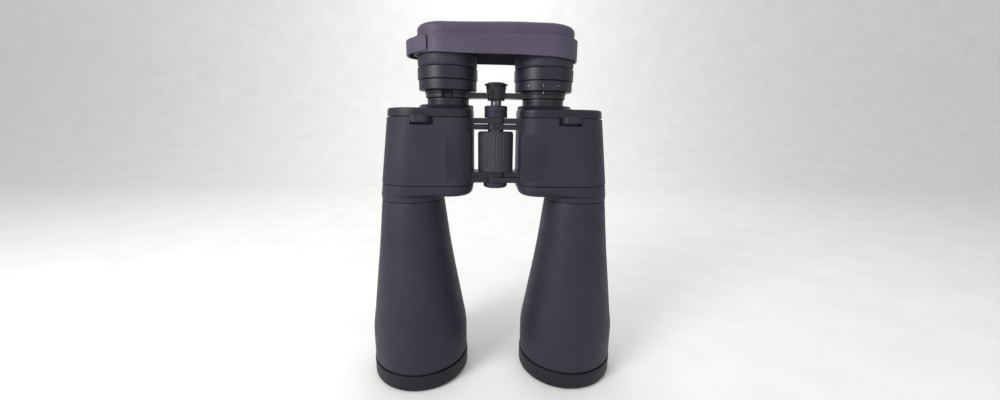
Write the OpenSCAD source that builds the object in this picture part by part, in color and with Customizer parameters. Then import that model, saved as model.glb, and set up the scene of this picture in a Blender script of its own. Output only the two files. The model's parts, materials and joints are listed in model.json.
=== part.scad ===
// Porro-prism binoculars with 70 mm objectives, standing on their objective caps.
// Millimetres. +Z runs up the optical axes to the eyepieces, +X to the right half, and -Y is the
// top side of the binoculars, where the hinge and the focus wheel are. The origin is on the ground,
// midway between the two objective axes. Each side module is drawn for the right half, side = 1,
// and mirrored for the left half, side = -1. The left half carries the hinge axle.

/* [Layout] */
// Distance from the middle plane to each objective axis
objective_x = 63.5; // [62:0.5:66]
// Distance from the middle plane to each eyepiece axis, half the eye spacing
eyepiece_x = 36.25; // [35.5:0.25:37]
// How far the eyepiece axes lie in front of the objective axes
eyepiece_front = 3.2; // [2:0.1:5]
// How far the hinge axis lies in front of the objective axes
hinge_front = 10; // [9:0.5:11]

/* [Objectives] */
// Outer radius of the objective cap's rim
cap_r = 40; // [39.8:0.1:42]
// Height of the objective cap
cap_h = 14.6; // [12:0.1:15]
// Radius of the objective tube's front land, which the cap fits
land_r = 38; // [37.6:0.1:38.2]
// Radius of the objective lenses
lens_r = 35; // [34:0.5:35]
// Radius of the armoured barrel at the housing
barrel_end_r = 25.2; // [24.5:0.1:25.4]

/* [Prism housing] */
// Height of the seam between the lower cover and the housing
housing_z = 165.2; // [164:0.1:166]
// Height of the seam between the housing and the cover plate
plate_z = 215.8; // [215:0.1:216]
// Distance from the middle plane to the housing's inner wall
housing_in = 17.1; // [16.5:0.1:18]
// Distance from the middle plane to the outer wall at the cover plate
housing_out = 82.9; // [82:0.1:84]
// How much wider the outer wall is at the lower seam
housing_flare = 6.4; // [4:0.1:7]
// Half the housing's depth
housing_y = 27; // [26:0.5:28]
// Radius of the housing's upright corners on the inner side
corner_r = 15; // [14:0.5:16]
// Radius of the housing's upright corners on the outer side
outer_corner_r = 25; // [22:0.5:25.5]
// Thickness of the rubber armour
armour_t = 1.8; // [1.5:0.1:2]

/* [Focus drive] */
// Radius of the hinge axle
axle_r = 6; // [5.5:0.1:6]
// Radius of the knuckles round the axle
knuckle_r = 8.6; // [8.4:0.1:9]
// Radius of the focus wheel
wheel_r = 13.5; // [13:0.1:14]
// Radius of the focus spindle
spindle_r = 4; // [3.8:0.1:4.1]
// Grip ribs round the focus wheel
wheel_ribs = 36; // [24:2:48]

/* [Eyepieces] */
// Radius of the fixed eyepiece neck
neck_r = 15.7; // [15:0.1:16]
// Radius of the sliding ocular tube
ocular_r = 13.5; // [13.3:0.1:13.6]
// Radius of the bridge arm's collar
collar_r = 17; // [16.6:0.1:17.2]
// Radius of the ring above the collar
ring_r = 21.6; // [21:0.1:21.8]
// Radius of the turning eyecup grip
sleeve_r = 22.3; // [21.6:0.1:22.4]
// Radius of the rubber eyecup
eyecup_r = 21.3; // [21:0.1:22.2]

/* [Rain guard] */
// Outer half width of the guard's rim
guard_r = 24.15; // [24:0.05:25]
// Outer half width of the guard's raised top
guard_top_r = 21.55; // [21.5:0.05:22]
// Wall thickness of the guard
guard_t = 1.6; // [1.4:0.1:1.6]
// How far the strap loop reaches past the guard's end
loop_reach = 5.8; // [5.6:0.1:8]

/* [Hidden] */
$fn = 96;
fit = 0.05; // radial clearance of a running or sliding fit
edge = 0.8; // small chamfer
over = 1; // how far a cutter runs past the face it opens

CAP_FLOOR = 4; // inner face of the cap's floor
CAP_RECESS = 2; // depth of the recess in the cap's underside
CAP_ROUND = 3.6;
ARMOUR_Z = 16; // lower edge of the barrel armour
BARREL_TOP = 152; // seam between the barrel and the lower cover
BARREL_SKIN = 1.5;
BARREL_WALL = 1.8;
LENS_Z = 8; // front of the objective lens
LENS_R = 220; // curvature of the objective's faces
CELL_R = 36.2;

WALL_IN = armour_t + 2.4; // inset of the housing's inner wall
POCKET_Y = 3.6; // depth of the pocket behind the strap bar
COVER_Z = 157; // underside of the lower cover
COVER_TOP = 221.9; // top of the cover plate
KNUCKLE_H = 4.1;
LOW_KNUCKLE = 167; // underside of the lowest knuckle
HIGH_KNUCKLE = 206.8; // underside of the right half's upper knuckle
KNUCKLE_STEP = KNUCKLE_H + 0.3;
WHEEL_Z = 175.7;
WHEEL_TOP = 205.5;
HINGE_LOW = 162.8;
HINGE_TOP = 224.3;
END_R = 9.3; // radius of the hinge's end piece
NUT_Z = 184; // rest height of the drive nut
SPINDLE_Z = 183.5;
SPINDLE_TOP = 236;

ARM_Z = 229.5;
ARM_T = 4;
NECK_TOP = 229.2;
HUB_R = 7;
HUB_TOP_R = 8.7;
RING_Z = 234.8;
HEAD_Z = 242.1; // underside of the ocular's head
HEAD_R = 18.5;
HEAD_TOP = 254;
CUP_Z = 251.1;
CUP_TOP = 261;
LIP_R = 13;

GUARD_Z = 258;
GUARD_STEP = 271;
GUARD_TOP = 279.7;
LOOP_Z = 260;

barrel_radii = [
    [ARMOUR_Z, land_r + BARREL_SKIN], [38, land_r + BARREL_SKIN], [60, 36.6], [90, 32.3],
    [115, 29], [BARREL_TOP, barrel_end_r]
];

// The light path turns through two crossed prisms between the objective and the eyepiece.
path_angle = atan2(-eyepiece_front, eyepiece_x - objective_x);
path_step = norm([eyepiece_x - objective_x, eyepiece_front]) / sqrt(2);
PRISM_L = 34;
PRISM_W = 16;
SHELF_Z = 188.9;
SHELF_TOP = 192.1;
midway = [objective_x, 0] + path_step * [cos(path_angle - 45), sin(path_angle - 45)];

arm_length = norm([eyepiece_x, hinge_front - eyepiece_front]);
arm_angle = atan2(hinge_front - eyepiece_front, eyepiece_x);

function housing_x(z) = housing_out + housing_flare * (plate_z - z) / (plate_z - housing_z);

// The x of the corners' centres and the corners' radius, on the inner and the outer side
function housing_ends(z) = [
    [housing_in + corner_r, corner_r], [housing_x(z) - outer_corner_r, outer_corner_r]
];

function knuckle_z(low, side) = low + (side > 0 ? 0 : KNUCKLE_STEP);

SIDE_NODES = [
    "objective_cap", "objective_barrel", "barrel_armour", "lens_ring", "objective_crown",
    "objective_flint", "lens_cell", "light_baffle", "lower_cover", "prism_housing",
    "housing_armour", "prism_shelf", "lower_prism", "upper_prism", "strap_lug", "cover_plate",
    "eyepiece_neck", "bridge_arm", "ocular_tube", "field_lens", "eye_lens", "ocular_ring",
    "eyecup_slider", "eyecup_sleeve", "eyecup_rubber"
];
MIDDLE_NODES = [
    "hinge_axle", "hinge_collar", "tripod_bush", "focus_wheel", "wheel_plate", "wheel_grip",
    "drive_nut", "focus_spindle", "bridge_hub", "rain_guard"
];

// Placing

module on_side(side) mirror([side < 0 ? 1 : 0, 0, 0]) children();

module at_objective(side) on_side(side) translate([objective_x, 0, 0]) children();

module at_eyepiece(side) on_side(side) translate([eyepiece_x, -eyepiece_front, 0]) children();

module at_hinge() translate([0, -hinge_front, 0]) children();

// Shared shapes

module rod(z0, z1, r) translate([0, 0, z0]) cylinder(h = z1 - z0, r = r);

module tube(z0, z1, r_out, r_in) difference() {
    rod(z0, z1, r_out);
    rod(z0 - over, z1 + over, r_in);
}

module turned(points) rotate_extrude() polygon(points);

module slab(z0, z1) translate([0, 0, z0]) linear_extrude(z1 - z0) children();

module chamfered_tube(z0, z1, r_out, r_in) turned([
    [r_in, z0], [r_out - edge, z0], [r_out, z0 + edge], [r_out, z1 - edge], [r_out - edge, z1],
    [r_in, z1]
]);

// A lens of radius r between z0 and z1 on its axis. A positive curve rises from the axis to the rim,
// and a curve of 0 is a flat face.
function lens_face(z, r, curve) = [for (i = [0:8]) let (x = r * i / 8)
    [x, curve == 0 ? z : z + sign(curve) * (abs(curve) - sqrt(curve * curve - x * x))]];

module lens(z0, z1, r, front, back) {
    rear = lens_face(z1, r, back);
    turned(concat(lens_face(z0, r, front), [for (i = [8:-1:0]) rear[i]]));
}

// The housing's tapering block with round upright corners, drawn in by inset
module housing_block(z0, z1, inset) {
    slice = 0.1;
    hull() for (z = [z0, z1 - slice])
        for (end = housing_ends(z))
            for (y = [-1, 1] * (housing_y - end[1]))
                translate([end[0], y, z]) cylinder(h = slice, r = end[1] - inset, $fn = 40);
}

// The two hinge arms that stand out of a housing, without their bores
module knuckle_arms(side) {
    root_x = housing_in + 3.6;
    root_y = 8;
    at_hinge() for (low = [LOW_KNUCKLE, HIGH_KNUCKLE])
        translate([0, 0, knuckle_z(low, side)]) {
            cylinder(h = KNUCKLE_H, r = knuckle_r);
            linear_extrude(KNUCKLE_H)
                polygon([[0, -knuckle_r], [root_x, -root_y], [root_x, root_y], [0, knuckle_r]]);
        }
}

// The pocket behind the strap bar
module strap_pocket() translate([44.8, -housing_y - over, 209.7])
    cube([16.9, over + POCKET_Y, 7]);

// Objective end

module objective_cap(side) color("#26252b") at_objective(side) rotate_extrude() difference() {
    union() {
        square([cap_r - CAP_ROUND, cap_h]);
        translate([0, CAP_ROUND]) square([cap_r, cap_h - CAP_ROUND - edge]);
        translate([0, CAP_ROUND]) square([cap_r - edge, cap_h - CAP_ROUND]);
        translate([cap_r - CAP_ROUND, CAP_ROUND]) circle(CAP_ROUND);
    }
    translate([0, CAP_FLOOR]) square([land_r + fit, cap_h]);
    square([cap_r - 2 * CAP_ROUND, CAP_RECESS]);
}

module objective_barrel(side) {
    neck = [22, 19];
    skin = [for (p = barrel_radii) if (p[0] > ARMOUR_Z) [p[1] - BARREL_SKIN, p[0]]];
    wall = [for (i = [len(skin) - 2:-1:0]) [min(skin[i][0] - BARREL_WALL, CELL_R), skin[i][1]]];
    color("#3a3a40") at_objective(side) turned(concat(
        [[CELL_R, CAP_FLOOR + 0.1], [land_r, CAP_FLOOR + 0.1]], skin,
        [[neck[0], BARREL_TOP], [neck[0], BARREL_TOP + 8], [neck[1], BARREL_TOP + 8],
            [neck[1], BARREL_TOP - 6]],
        wall
    ));
}

module barrel_armour(side) {
    skin = [for (p = barrel_radii) [p[1], p[0]]];
    back = [for (i = [len(skin) - 1:-1:0]) [skin[i][0] - BARREL_SKIN, skin[i][1]]];
    color("#2b2a31") at_objective(side) turned(concat(skin, back));
}

module lens_ring(side) color("#1c1c20") at_objective(side) tube(4.4, 10.6, CELL_R, lens_r - 0.8);

module objective_crown(side) color("#7f9aa0", 0.4) at_objective(side)
    lens(LENS_Z, LENS_Z + 9, lens_r, LENS_R, -LENS_R);

module objective_flint(side) color("#8c9a9a", 0.4) at_objective(side)
    lens(LENS_Z + 9.1, LENS_Z + 13, lens_r, -LENS_R, 0);

module lens_cell(side) color("#1c1c20") at_objective(side) {
    tube(10.6, LENS_Z + 13, CELL_R, lens_r);
    tube(LENS_Z + 13, LENS_Z + 15, CELL_R, lens_r - 1.5);
}

module light_baffle(side) {
    z = 100;
    color("#141416") at_objective(side)
        tube(z, z + 1.5, lookup(z + 1.5, barrel_radii) - BARREL_SKIN - BARREL_WALL, 21);
}

// Prism housing

module lower_cover(side) color("#2b2a31") on_side(side) difference() {
    union() {
        hull() {
            housing_block(housing_z - 3, housing_z - 0.1, 0);
            housing_block(COVER_Z, COVER_Z + 1, 2.6);
        }
        translate([objective_x, 0, 0]) rod(BARREL_TOP, housing_z - 0.1, barrel_end_r + 0.2);
    }
    translate([objective_x, 0, 0]) {
        rod(BARREL_TOP - over, BARREL_TOP + 8, 22);
        rod(BARREL_TOP, housing_z + over, 19);
    }
}

module prism_housing(side) {
    bore = axle_r + (side > 0 ? fit : 0);
    color("#34343a") on_side(side) difference() {
        union() {
            difference() {
                housing_block(housing_z, plate_z, armour_t);
                housing_block(housing_z - over, plate_z + over, WALL_IN);
                strap_pocket();
            }
            knuckle_arms(side);
        }
        at_hinge() rod(LOW_KNUCKLE - over, plate_z + over, bore);
    }
}

module housing_armour(side) color("#2b2a31") on_side(side) difference() {
    housing_block(housing_z + 0.4, plate_z - 0.4, 0);
    housing_block(housing_z - over, plate_z + over, armour_t);
    knuckle_arms(side);
    strap_pocket();
}

module prism_shelf(side) color("#55555c") on_side(side) difference() {
    slab(SHELF_Z, SHELF_TOP) hull()
        for (end = housing_ends(SHELF_TOP))
            for (y = [-1, 1] * (housing_y - end[1]))
                translate([end[0], y]) circle(end[1] - WALL_IN, $fn = 40);
    for (p = [[objective_x, 0], midway, [eyepiece_x, -eyepiece_front]])
        translate(p) rod(SHELF_Z - over, SHELF_TOP + over, 7.6);
}

// A right-angle prism lying along the line from one light path to the next
module prism(angle) rotate([0, 0, angle]) rotate([90, 0, 0])
    linear_extrude(PRISM_W, center = true)
        polygon([[-PRISM_L / 2, 0], [PRISM_L / 2, 0], [0, PRISM_L / 2]]);

module upper_prism(side) {
    mid = ([objective_x, 0] + midway) / 2;
    color("#a9c4cf", 0.5) on_side(side) translate([mid[0], mid[1], SHELF_TOP + 0.1])
        prism(path_angle - 45);
}

module lower_prism(side) {
    mid = (midway + [eyepiece_x, -eyepiece_front]) / 2;
    color("#a9c4cf", 0.5) on_side(side) translate([mid[0], mid[1], SHELF_Z - 0.1])
        mirror([0, 0, 1]) prism(path_angle + 45);
}

module strap_lug(side) {
    bar = [50.1, 59.2];
    bar_r = 2.15;
    bar_z = 213.5;
    proud = 0.2;
    bar_y = -housing_y - proud;
    color("#2b2a31") on_side(side) {
        translate([bar[0], bar_y, bar_z]) rotate([0, 90, 0])
            cylinder(h = bar[1] - bar[0], r = bar_r);
        for (x = bar) translate([x, bar_y, bar_z]) {
            sphere(r = bar_r);
            rotate([-90, 0, 0]) cylinder(h = POCKET_Y + proud, r = bar_r - 0.3);
        }
    }
}

// The plate's boss stands back from the neck, on its outer side
module cover_plate(side) color("#2a2930") on_side(side) difference() {
    boss_r = neck_r + 4.8;
    union() {
        hull() {
            housing_block(plate_z + 0.1, COVER_TOP - 1.4, 0.2);
            housing_block(COVER_TOP - 0.5, COVER_TOP, 1.4);
        }
        translate([eyepiece_x + 1.5, 3.5 - eyepiece_front, 0]) {
            rod(COVER_TOP - over, 223.7, boss_r);
            translate([0, 0, 223.7]) cylinder(h = 1, r1 = boss_r, r2 = boss_r - 0.8);
        }
    }
    translate([eyepiece_x, -eyepiece_front, 0]) rod(plate_z - over, 226, neck_r);
}

module eyepiece_neck(side) color("#1f1f24") at_eyepiece(side)
    tube(plate_z + 0.1, NECK_TOP, neck_r, ocular_r + fit);

// Hinge and focus drive

module hinge_axle() color("#3c3c42") at_hinge() difference() {
    rod(HINGE_LOW, HINGE_TOP, axle_r);
    rod(SPINDLE_Z - 2.5, HINGE_TOP + over, spindle_r + fit);
    rod(HINGE_LOW - over, HINGE_LOW + 9, 4.2);
    translate([-1.45, -axle_r - over, NUT_Z + 1]) cube([2.9, 2 * (axle_r + over), 11.8]);
}

// The end piece below the lowest knuckle and the collar above the highest one
module hinge_collar() color("#2b2a31") at_hinge() {
    turned([
        [axle_r, HINGE_LOW], [END_R - 2, HINGE_LOW], [END_R - 0.6, HINGE_LOW + 0.6],
        [END_R, HINGE_LOW + 1.8], [END_R, LOW_KNUCKLE - 0.2], [axle_r, LOW_KNUCKLE - 0.2]
    ]);
    chamfered_tube(HIGH_KNUCKLE + 2 * KNUCKLE_STEP, HINGE_TOP, knuckle_r, axle_r);
}

module tripod_bush() color("#b08d3f") at_hinge() tube(HINGE_LOW, HINGE_LOW + 9, 4.2, 3.175);

module focus_wheel() color("#202024") at_hinge() turned([
    [axle_r + fit, WHEEL_Z], [wheel_r - 1.5, WHEEL_Z], [wheel_r - 1.5, WHEEL_TOP - 5],
    [axle_r + 3.7, WHEEL_TOP - 5], [axle_r + 3.7, WHEEL_Z + 4.3], [axle_r + fit, WHEEL_Z + 4.3]
]);

module wheel_plate() color("#202024") at_hinge()
    tube(WHEEL_TOP - 5, WHEEL_TOP, wheel_r - 1.5, axle_r + fit);

module wheel_grip() {
    groove_r = 0.45;
    color("#17171a") at_hinge() difference() {
        chamfered_tube(WHEEL_Z, WHEEL_TOP, wheel_r, wheel_r - 1.5);
        for (i = [0:wheel_ribs - 1]) rotate([0, 0, i * 360 / wheel_ribs])
            translate([wheel_r + 0.1, 0, 0]) rod(WHEEL_Z + 2, WHEEL_TOP - 2, groove_r);
    }
}

module drive_nut() {
    pin_r = 1.4;
    color("#b08d3f") at_hinge() {
        tube(NUT_Z, NUT_Z + 6, axle_r + 3.3, axle_r + 0.3);
        translate([0, 0, NUT_Z + 3]) rotate([90, 0, 0])
            cylinder(h = 2 * axle_r + 2, r = pin_r, center = true);
    }
}

module focus_spindle() color("#77777e") at_hinge() difference() {
    rod(SPINDLE_Z, SPINDLE_TOP, spindle_r);
    translate([0, 0, NUT_Z + 3]) rotate([90, 0, 0])
        cylinder(h = 3 * spindle_r, r = 1.4, center = true);
}

// The hub's base and its domed cap, above and below the two arms' rings
module bridge_hub() color("#17171a") at_hinge() {
    cap_z = ARM_Z + ARM_T + 0.1;
    turned([
        [spindle_r, ARM_Z - 1.5], [HUB_R - 0.9, ARM_Z - 1.5], [HUB_R - 0.2, ARM_Z - 0.1],
        [spindle_r, ARM_Z - 0.1]
    ]);
    difference() {
        turned([
            [0, cap_z], [HUB_R, cap_z], [HUB_R + 0.7, 237.6], [HUB_R, 238], [HUB_R, 238.6],
            [HUB_TOP_R - 0.3, 238.6], [HUB_TOP_R, 239], [HUB_TOP_R - 0.5, 239.8], [6, 240.8],
            [3, 241.1], [0, 241.2]
        ]);
        rod(cap_z - over, SPINDLE_TOP, spindle_r);
    }
}

// An arm from the hub to its eyepiece: a half-thickness ring at the hub, a bar and a collar.
// The left ring is fixed on the spindle and the right ring turns on it.
module bridge_arm(side) {
    lap = ARM_T / 2 - 0.05;
    ring_z = side > 0 ? ARM_Z + ARM_T - lap : ARM_Z;
    loose = side > 0 ? fit : 0;
    half_w = 6;
    color("#1d1d21") on_side(side) at_hinge() rotate([0, 0, arm_angle]) difference() {
        union() {
            translate([0, 0, ring_z]) {
                cylinder(h = lap, r = HUB_R);
                translate([0, -half_w, 0]) cube([HUB_R + 1, 2 * half_w, lap]);
            }
            translate([0, 0, ARM_Z]) linear_extrude(ARM_T) polygon([
                [HUB_R + 0.5, -half_w], [arm_length - 12, -half_w - 2],
                [arm_length - 12, half_w + 2], [HUB_R + 0.5, half_w]
            ]);
            translate([arm_length, 0, 0]) rod(ARM_Z, RING_Z + 2.7, collar_r);
        }
        rod(ARM_Z - over, ARM_Z + ARM_T + over, spindle_r + loose);
        translate([arm_length, 0, 0]) rod(ARM_Z - over, RING_Z + 4, ocular_r + loose);
    }
}

// Eyepieces

module ocular_tube(side) color("#1f1f24") at_eyepiece(side) turned([
    [ocular_r - 1.5, 212], [ocular_r, 212], [ocular_r, HEAD_Z], [HEAD_R, HEAD_Z],
    [HEAD_R, HEAD_TOP], [ocular_r - 1.5, HEAD_TOP]
]);

module field_lens(side) color("#8fa3a8", 0.4) at_eyepiece(side)
    lens(214, 219, ocular_r - 1.5, 40, -40);

module eye_lens(side) color("#8fa3a8", 0.4) at_eyepiece(side)
    lens(246.5, 252.5, ocular_r - 1.5, 40, -40);

// The left one is a fixed trim ring; the right one is the diopter ring, which turns.
module ocular_ring(side) {
    bore = ocular_r + (side > 0 ? fit : 0);
    color("#1b1b1f") at_eyepiece(side) turned([
        [bore, RING_Z + 4.5], [collar_r + 0.4, RING_Z + 4.5], [collar_r + 0.4, RING_Z],
        [ring_r - edge, RING_Z], [ring_r, RING_Z + edge], [ring_r, HEAD_Z - 0.8],
        [ring_r - 0.5, HEAD_Z - 0.2], [bore, HEAD_Z - 0.2]
    ]);
}

// The sleeve that carries an eyecup up and down without turning
module eyecup_slider(side) color("#3c3c42") at_eyepiece(side)
    tube(HEAD_Z + 0.9, HEAD_TOP, HEAD_R + 1, HEAD_R + fit);

// The grip that is turned to raise the eyecup
module eyecup_sleeve(side) color("#222226") at_eyepiece(side)
    chamfered_tube(HEAD_Z + 0.1, CUP_Z - 0.2, sleeve_r, HEAD_R + 1 + fit);

module eyecup_rubber(side) {
    lip_z = CUP_TOP - 2.5;
    color("#242328") at_eyepiece(side) turned([
        [HEAD_R + 1 + fit, CUP_Z], [eyecup_r, CUP_Z], [eyecup_r, CUP_TOP - 2],
        [eyecup_r - 0.6, CUP_TOP - 0.6], [eyecup_r - 2, CUP_TOP], [LIP_R + 1, CUP_TOP],
        [LIP_R, CUP_TOP - 1], [LIP_R, lip_z], [HEAD_R + 1 + fit, lip_z]
    ]);
}

// Rain guard

module stadium(r) {
    for (x = [-eyepiece_x, eyepiece_x]) translate([x, 0]) circle(r);
    square([2 * eyepiece_x, 2 * r], center = true);
}

// A tray over both eyecups, a ring inside it that sits on the left eyecup, and a strap loop
module rain_guard() {
    ceiling = GUARD_TOP - 2.3;
    end_x = eyepiece_x + guard_r;
    band = 1.5;
    loop_r = 20;
    loop_x = end_x + loop_reach - loop_r;
    color("#3a3742") translate([0, -eyepiece_front, 0]) {
        difference() {
            union() {
                slab(GUARD_Z, GUARD_STEP) stadium(guard_r);
                slab(GUARD_STEP, GUARD_TOP) stadium(guard_top_r);
            }
            slab(GUARD_Z - over, GUARD_STEP - guard_t) stadium(guard_r - guard_t);
            slab(GUARD_STEP - 2 * guard_t, ceiling) stadium(guard_top_r - guard_t);
        }
        translate([-eyepiece_x, 0, 0]) tube(CUP_TOP + 0.1, ceiling + 0.1, 19.5, 15);
        slab(LOOP_Z, LOOP_Z + 10) difference() {
            hull() {
                translate([-loop_x, 0]) circle(loop_r);
                translate([-eyepiece_x, 0]) circle(guard_r + 0.8);
            }
            hull() {
                translate([-loop_x, 0]) circle(loop_r - band);
                translate([-eyepiece_x, 0]) circle(guard_r - 0.5);
            }
            translate([-eyepiece_x, -50]) square([100, 100]);
        }
    }
}

objective_cap(-1);  // objective_cap_left
objective_cap(1);  // objective_cap_right
objective_barrel(-1);  // objective_barrel_left
objective_barrel(1);  // objective_barrel_right
barrel_armour(-1);  // barrel_armour_left
barrel_armour(1);  // barrel_armour_right
lens_ring(-1);  // lens_ring_left
lens_ring(1);  // lens_ring_right
objective_crown(-1);  // objective_crown_left
objective_crown(1);  // objective_crown_right
objective_flint(-1);  // objective_flint_left
objective_flint(1);  // objective_flint_right
lens_cell(-1);  // lens_cell_left
lens_cell(1);  // lens_cell_right
light_baffle(-1);  // light_baffle_left
light_baffle(1);  // light_baffle_right
lower_cover(-1);  // lower_cover_left
lower_cover(1);  // lower_cover_right
prism_housing(-1);  // prism_housing_left
prism_housing(1);  // prism_housing_right
housing_armour(-1);  // housing_armour_left
housing_armour(1);  // housing_armour_right
prism_shelf(-1);  // prism_shelf_left
prism_shelf(1);  // prism_shelf_right
lower_prism(-1);  // lower_prism_left
lower_prism(1);  // lower_prism_right
upper_prism(-1);  // upper_prism_left
upper_prism(1);  // upper_prism_right
strap_lug(-1);  // strap_lug_left
strap_lug(1);  // strap_lug_right
cover_plate(-1);  // cover_plate_left
cover_plate(1);  // cover_plate_right
eyepiece_neck(-1);  // eyepiece_neck_left
eyepiece_neck(1);  // eyepiece_neck_right
bridge_arm(-1);  // bridge_arm_left
bridge_arm(1);  // bridge_arm_right
ocular_tube(-1);  // ocular_tube_left
ocular_tube(1);  // ocular_tube_right
field_lens(-1);  // field_lens_left
field_lens(1);  // field_lens_right
eye_lens(-1);  // eye_lens_left
eye_lens(1);  // eye_lens_right
ocular_ring(-1);  // ocular_ring_left
ocular_ring(1);  // ocular_ring_right
eyecup_slider(-1);  // eyecup_slider_left
eyecup_slider(1);  // eyecup_slider_right
eyecup_sleeve(-1);  // eyecup_sleeve_left
eyecup_sleeve(1);  // eyecup_sleeve_right
eyecup_rubber(-1);  // eyecup_rubber_left
eyecup_rubber(1);  // eyecup_rubber_right
hinge_axle();
hinge_collar();
tripod_bush();
focus_wheel();
wheel_plate();
wheel_grip();
drive_nut();
focus_spindle();
bridge_hub();
rain_guard();
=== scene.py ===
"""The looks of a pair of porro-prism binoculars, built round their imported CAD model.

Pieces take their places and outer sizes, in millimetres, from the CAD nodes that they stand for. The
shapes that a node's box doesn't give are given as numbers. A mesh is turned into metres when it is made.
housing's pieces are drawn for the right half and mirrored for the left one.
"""

import json
import math

import bmesh
import bpy
from mathutils import Matrix, Vector


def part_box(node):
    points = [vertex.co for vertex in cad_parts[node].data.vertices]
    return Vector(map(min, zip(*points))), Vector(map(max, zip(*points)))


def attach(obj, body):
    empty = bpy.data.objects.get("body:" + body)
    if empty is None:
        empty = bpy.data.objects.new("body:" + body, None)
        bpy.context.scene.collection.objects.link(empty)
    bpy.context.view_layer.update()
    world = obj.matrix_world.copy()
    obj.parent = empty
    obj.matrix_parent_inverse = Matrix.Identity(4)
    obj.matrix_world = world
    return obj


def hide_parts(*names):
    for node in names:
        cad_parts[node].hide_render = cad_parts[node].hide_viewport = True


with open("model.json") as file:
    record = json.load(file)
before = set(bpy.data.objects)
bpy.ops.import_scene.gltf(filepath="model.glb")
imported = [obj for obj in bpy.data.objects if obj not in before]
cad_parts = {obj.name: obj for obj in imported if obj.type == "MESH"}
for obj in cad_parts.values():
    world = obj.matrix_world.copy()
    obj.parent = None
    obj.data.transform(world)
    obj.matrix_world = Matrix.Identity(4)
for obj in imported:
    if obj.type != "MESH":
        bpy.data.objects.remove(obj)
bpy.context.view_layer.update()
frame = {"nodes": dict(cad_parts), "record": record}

MM = 0.001
SIDES = {"left": -1, "right": 1}
ARC_STEPS = 5
ROUND_STEPS = 160
SHARP = math.radians(38)

# The camera's lens, and where it looks from, in millimetres and degrees
LENS = 12.61
CAMERA_AT = (-6.918, -282.649, 211.2)
CAMERA_YAW = 2.29
CAMERA_PITCH = 12.26
CAMERA_ROLL = 0.745

# Shape values that the CAD boxes don't give
CAP_ROUND = 3.6
CAP_RECESS = 2
CAP_FLOOR = 4
BARREL_SKIN = 1.5
BARREL_WALL = 1.8
BARREL_KNOTS = [(38, 39.5), (60, 36.7), (90, 32.3), (115, 28.8), (152, 24.6)]
BARREL_LEAN = [(38, 0), (60, 0.5), (90, 1.4), (118, 2), (152, 2.4)]
CORNER_R = 15
OUTER_CORNER_R = 25
ARMOUR_T = 1.8
PLATE_INSET = 0.2
PLATE_TOP = 221.9
BOSS_R = 20.5
BOSS_AT = (1.5, 3.5)
KNUCKLE_R = 8.6
LOW_KNUCKLES = {"left": 171.4, "right": 167}
HIGH_KNUCKLES = {"left": 211.2, "right": 206.8}
KNUCKLE_H = 4.1
ARM_T = 4
ARM_LAP = ARM_T / 2 - 0.05
HUB_STEPS = 240
HUB_RIBS = 40
HUB_RIB_DEPTH = 0.3


class Place:
    """A CAD node's box at rest, in millimetres, with the centre and radius of a round node."""

    def __init__(self, node):
        low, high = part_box(node)
        self.x0, self.y0, self.z0 = low / MM
        self.x1, self.y1, self.z1 = high / MM
        self.centre = ((self.x0 + self.x1) / 2, (self.y0 + self.y1) / 2)
        self.r = (self.x1 - self.x0) / 2


# Shapes: a shape is a list of points, in millimetres, and a list of faces


def rounded(corners):
    """The outline through corners (a, b) or (a, b, radius), with an arc at each that has a radius."""
    outline = []
    for i, corner in enumerate(corners):
        here = Vector(corner[:2])
        if len(corner) == 2:
            outline.append(tuple(here))
            continue
        back = (Vector(corners[i - 1][:2]) - here).normalized()
        ahead = (Vector(corners[(i + 1) % len(corners)][:2]) - here).normalized()
        half = back.angle(ahead) / 2
        centre = here + (back + ahead).normalized() * corner[2] / math.sin(half)
        start = here + back * corner[2] / math.tan(half) - centre
        end = here + ahead * corner[2] / math.tan(half) - centre
        for k in range(ARC_STEPS + 1):
            spoke = start.lerp(end, k / ARC_STEPS).normalized() * corner[2]
            outline.append(tuple(centre + spoke))
    return outline


def curve_through(knots, spacing):
    """Points about every spacing along a smooth line through knots (z, r), level at the first one."""
    slopes = [0]
    for before, after in zip(knots, knots[2:]):
        slopes.append((after[1] - before[1]) / (after[0] - before[0]))
    slopes.append((knots[-1][1] - knots[-2][1]) / (knots[-1][0] - knots[-2][0]))
    line = []
    for i in range(len(knots) - 1):
        (z0, r0), (z1, r1) = knots[i], knots[i + 1]
        step = z1 - z0
        count = math.ceil(step / spacing)
        for k in range(count):
            t = k / count
            value = (
                r0 * (1 + 2 * t) * (1 - t) ** 2
                + slopes[i] * step * t * (1 - t) ** 2
                + r1 * t * t * (3 - 2 * t)
                + slopes[i + 1] * step * t * t * (t - 1)
            )
            line.append((z0 + step * t, value))
    line.append(knots[-1])
    return line


def straight(start, end, steps):
    """Points in equal steps from start towards end, which is left out."""
    points = []
    for k in range(steps):
        t = k / steps
        points.append((start[0] + (end[0] - start[0]) * t, start[1] + (end[1] - start[1]) * t))
    return points


def skin(rings, closed=True):
    """A surface through rings of equally many points; a closed one joins the last ring to the first."""
    count = len(rings[0])
    points = [point for ring in rings for point in ring]
    faces = []
    for i in range(len(rings) if closed else len(rings) - 1):
        a = i * count
        b = (i + 1) % len(rings) * count
        for k in range(count):
            nxt = (k + 1) % count
            faces.append((a + k, a + nxt, b + nxt, b + k))
    return points, faces


def capped(rings):
    """A surface through rings with a face over each end."""
    points, faces = skin(rings, closed=False)
    count = len(rings[0])
    faces.append(tuple(range(count)))
    faces.append(tuple(range(len(points) - count, len(points))))
    return points, faces


def joined(*shapes):
    points = []
    faces = []
    for shape_points, shape_faces in shapes:
        faces += [tuple(k + len(points) for k in face) for face in shape_faces]
        points += shape_points
    return points, faces


def mirrored(shape, side):
    points, faces = shape
    return [(x * SIDES[side], y, z) for x, y, z in points], faces


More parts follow.
